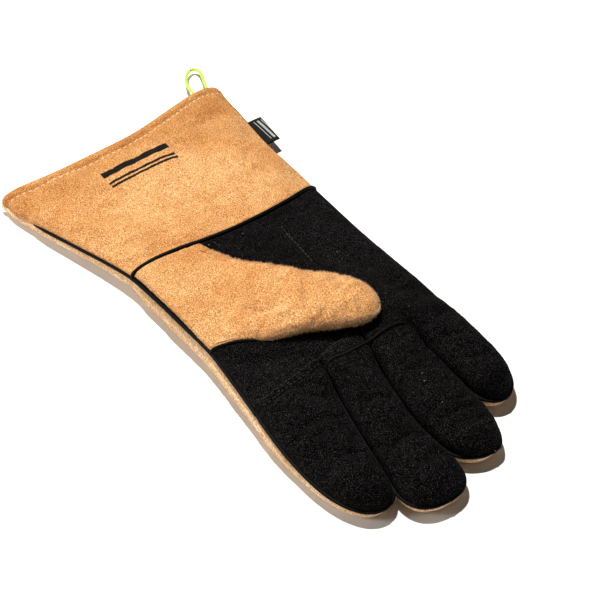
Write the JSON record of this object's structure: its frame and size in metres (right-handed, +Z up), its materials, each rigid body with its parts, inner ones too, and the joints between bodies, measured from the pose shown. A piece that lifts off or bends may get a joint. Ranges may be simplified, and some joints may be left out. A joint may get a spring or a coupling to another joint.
{
  "type": "heat resistant gauntlet glove",
  "caption": "Long suede gauntlet glove for grilling, palm up, with flared cuff, padded fingers that bend, thumb folded over the palm, hanging loop and side tab.",
  "frame": {"origin": "under the middle of the glove without its hanging loop, on the surface it lies on", "axes": "+X from the cuff mouth to the fingertips, +Y to the little-finger side, +Z up out of the palm"},
  "size_m": [0.4081, 0.1874, 0.0425],
  "materials": {
    "tan_suede": "brushed split suede, tan",
    "black_suede": "brushed split suede, black",
    "welt_black": "smooth black leather piping, satin",
    "lining": "quilted cotton felt, matte",
    "thread_cream": "twisted sewing thread",
    "cord_lime": "woven round cord",
    "label_black": "woven ribbon"
  },
  "bodies": {
    "hand": {"palm_front": "black_suede", "palm_patch": "black_suede", "thumb_base": "tan_suede", "hand_back": "tan_suede", "palm_lining": "lining", "hand_welt_thumb_side": "welt_black", "hand_welt_little_side": "welt_black", "wrist_welt": "welt_black"},
    "cuff": {"cuff_front": "tan_suede", "cuff_back": "tan_suede", "cuff_lining": "lining", "cuff_welt_thumb_side": "welt_black", "cuff_welt_little_side": "welt_black"},
    "thumb": {"thumb_back": "tan_suede", "thumb_grip": "black_suede", "thumb_lining": "lining", "thumb_welt": "welt_black"},
    "loop": {"hanging_loop": "cord_lime"},
    "label": {"label_tab": "label_black"},
    "index": {"index_front": "black_suede", "index_back": "tan_suede", "index_welt": "welt_black", "index_lining": "lining"},
    "middle": {"middle_front": "black_suede", "middle_back": "tan_suede", "middle_welt": "welt_black", "middle_lining": "lining"},
    "ring": {"ring_front": "black_suede", "ring_back": "tan_suede", "ring_welt": "welt_black", "ring_lining": "lining"},
    "little": {"little_front": "black_suede", "little_back": "tan_suede", "little_welt": "welt_black", "little_lining": "lining"}
  },
  "joints": [
    {"name": "wrist_bend", "type": "hinge", "parent": "hand", "child": "cuff", "pos_m": [-0.05495, -0.0009, 0.0285], "axis": [0, 1, 0], "range_deg": [0, 35]},
    {"name": "index_bend", "type": "hinge", "parent": "hand", "child": "index", "pos_m": [0.07705, -0.0429, 0.027], "axis": [0, -1, 0], "range_deg": [0, 75]},
    {"name": "middle_bend", "type": "hinge", "parent": "hand", "child": "middle", "pos_m": [0.07705, -0.0029, 0.027], "axis": [0, -1, 0], "range_deg": [0, 75]},
    {"name": "ring_bend", "type": "hinge", "parent": "hand", "child": "ring", "pos_m": [0.07705, 0.0321, 0.027], "axis": [0, -1, 0], "range_deg": [0, 75]},
    {"name": "little_bend", "type": "hinge", "parent": "hand", "child": "little", "pos_m": [0.07705, 0.06511, 0.027], "axis": [0, -1, 0], "range_deg": [0, 75]},
    {"name": "thumb_lift", "type": "hinge", "parent": "hand", "child": "thumb", "pos_m": [-0.01395, -0.0405, 0.0368], "axis": [0.9, -0.4359, 0], "range_deg": [0, 80]},
    {"name": "loop_swing", "type": "hinge", "parent": "cuff", "child": "loop", "pos_m": [-0.18535, 0.07311, 0.01], "axis": [0, 1, 0], "range_deg": [0, 45]},
    {"name": "label_flip", "type": "hinge", "parent": "cuff", "child": "label", "pos_m": [-0.13395, 0.08351, 0.0102], "axis": [1, 0, 0], "range_deg": [0, 70]}
  ]
}
